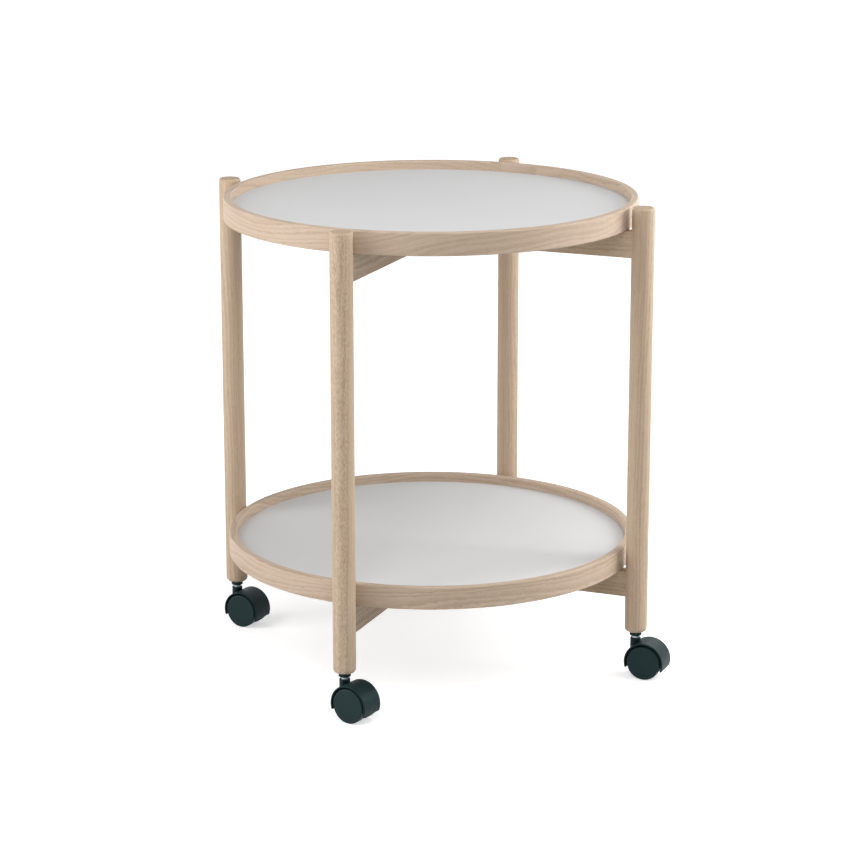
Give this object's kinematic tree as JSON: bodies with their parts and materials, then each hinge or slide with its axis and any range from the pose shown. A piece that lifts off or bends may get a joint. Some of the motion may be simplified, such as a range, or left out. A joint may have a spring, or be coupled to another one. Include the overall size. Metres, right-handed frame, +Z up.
{
  "type": "service cart",
  "caption": "Round tray trolley: oak-rimmed laminate trays, one above the other, on crossed folding leg frames with black hooded swivel castors.",
  "frame": {"origin": "on the floor under the middle of the trays, where the fold axis meets the floor", "axes": "+Z up along the fold axis; the legs stand on the diagonals between X and Y; -Y is the front"},
  "size_m": [0.5, 0.5, 0.5788],
  "materials": {
    "oak": "pale soap-treated oak, matte",
    "dowel_wood": "plain beech",
    "core_board": "bare fibreboard",
    "laminate": "light grey-white laminate, matte",
    "castor_plastic": "black moulded plastic, satin",
    "wheel_plastic": "black moulded plastic, satin",
    "zinc_steel": "zinc plated",
    "nylon": "natural nylon"
  },
  "bodies": {
    "frame_a": {"back_right_leg": "oak", "front_left_leg": "oak", "lower_rail_a": "oak", "upper_rail_a": "oak", "frame_a_dowels": "dowel_wood", "back_right_socket": "castor_plastic", "back_right_stem": "zinc_steel", "back_right_grip_ring": "zinc_steel", "front_left_socket": "castor_plastic", "front_left_stem": "zinc_steel", "front_left_grip_ring": "zinc_steel", "lower_pivot_bolt": "zinc_steel", "lower_pivot_sleeve": "zinc_steel", "lower_pivot_washer": "nylon", "upper_pivot_bolt": "zinc_steel", "upper_pivot_sleeve": "zinc_steel", "upper_pivot_washer": "nylon"},
    "frame_b": {"back_left_leg": "oak", "front_right_leg": "oak", "lower_rail_b": "oak", "upper_rail_b": "oak", "frame_b_dowels": "dowel_wood", "back_left_socket": "castor_plastic", "back_left_stem": "zinc_steel", "back_left_grip_ring": "zinc_steel", "front_right_socket": "castor_plastic", "front_right_stem": "zinc_steel", "front_right_grip_ring": "zinc_steel"},
    "lower_tray": {"lower_tray_rim": "oak", "lower_tray_core": "core_board", "lower_tray_top_laminate": "laminate", "lower_tray_bottom_laminate": "laminate"},
    "upper_tray": {"upper_tray_rim": "oak", "upper_tray_core": "core_board", "upper_tray_top_laminate": "laminate", "upper_tray_bottom_laminate": "laminate"},
    "front_left_castor": {"front_left_hood": "castor_plastic", "front_left_axle": "zinc_steel"},
    "front_left_wheel_left": {"front_left_wheel_left": "wheel_plastic"},
    "front_left_wheel_right": {"front_left_wheel_right": "wheel_plastic"},
    "front_right_castor": {"front_right_hood": "castor_plastic", "front_right_axle": "zinc_steel"},
    "front_right_wheel_left": {"front_right_wheel_left": "wheel_plastic"},
    "front_right_wheel_right": {"front_right_wheel_right": "wheel_plastic"},
    "back_left_castor": {"back_left_hood": "castor_plastic", "back_left_axle": "zinc_steel"},
    "back_left_wheel_left": {"back_left_wheel_left": "wheel_plastic"},
    "back_left_wheel_right": {"back_left_wheel_right": "wheel_plastic"},
    "back_right_castor": {"back_right_hood": "castor_plastic", "back_right_axle": "zinc_steel"},
    "back_right_wheel_left": {"back_right_wheel_left": "wheel_plastic"},
    "back_right_wheel_right": {"back_right_wheel_right": "wheel_plastic"}
  },
  "joints": [
    {"name": "frame_fold", "type": "hinge", "parent": "frame_a", "child": "frame_b", "pos_m": [0, 0, 0], "axis": [0, 0, 1], "range_deg": [-60, 60]},
    {"name": "upper_tray_lift", "type": "slide", "parent": "frame_a", "child": "upper_tray", "axis": [0, 0, 1], "range_m": [0, 0.3]},
    {"name": "lower_tray_lift", "type": "slide", "parent": "frame_a", "child": "lower_tray", "axis": [0, 0, 1], "range_m": [0, 0.35]},
    {"name": "front_left_swivel", "type": "hinge", "parent": "frame_a", "child": "front_left_castor", "pos_m": [-0.19, -0.19, 0.0481], "axis": [0, 0, 1], "continuous": true},
    {"name": "front_left_wheel_left_spin", "type": "hinge", "parent": "front_left_castor", "child": "front_left_wheel_left", "pos_m": [-0.18189, -0.20297, 0.021], "axis": [0.848, 0.5299, 0], "continuous": true},
    {"name": "front_left_wheel_right_spin", "type": "hinge", "parent": "front_left_castor", "child": "front_left_wheel_right", "pos_m": [-0.18189, -0.20297, 0.021], "axis": [0.848, 0.5299, 0], "continuous": true},
    {"name": "front_right_swivel", "type": "hinge", "parent": "frame_b", "child": "front_right_castor", "pos_m": [0.19, -0.19, 0.0481], "axis": [0, 0, 1], "continuous": true},
    {"name": "front_right_wheel_left_spin", "type": "hinge", "parent": "front_right_castor", "child": "front_right_wheel_left", "pos_m": [0.20063, -0.201, 0.021], "axis": [0.7193, 0.6947, 0], "continuous": true},
    {"name": "front_right_wheel_right_spin", "type": "hinge", "parent": "front_right_castor", "child": "front_right_wheel_right", "pos_m": [0.20063, -0.201, 0.021], "axis": [0.7193, 0.6947, 0], "continuous": true},
    {"name": "back_left_swivel", "type": "hinge", "parent": "frame_b", "child": "back_left_castor", "pos_m": [-0.19, 0.19, 0.0481], "axis": [0, 0, 1], "continuous": true},
    {"name": "back_left_wheel_left_spin", "type": "hinge", "parent": "back_left_castor", "child": "back_left_wheel_left", "pos_m": [-0.18101, 0.17762, 0.021], "axis": [0.809, 0.5878, 0], "continuous": true},
    {"name": "back_left_wheel_right_spin", "type": "hinge", "parent": "back_left_castor", "child": "back_left_wheel_right", "pos_m": [-0.18101, 0.17762, 0.021], "axis": [0.809, 0.5878, 0], "continuous": true},
    {"name": "back_right_swivel", "type": "hinge", "parent": "frame_a", "child": "back_right_castor", "pos_m": [0.19, 0.19, 0.0481], "axis": [0, 0, 1], "continuous": true},
    {"name": "back_right_wheel_left_spin", "type": "hinge", "parent": "back_right_castor", "child": "back_right_wheel_left", "pos_m": [0.19983, 0.17828, 0.021], "axis": [0.766, 0.6428, 0], "continuous": true},
    {"name": "back_right_wheel_right_spin", "type": "hinge", "parent": "back_right_castor", "child": "back_right_wheel_right", "pos_m": [0.19983, 0.17828, 0.021], "axis": [0.766, 0.6428, 0], "continuous": true}
  ]
}
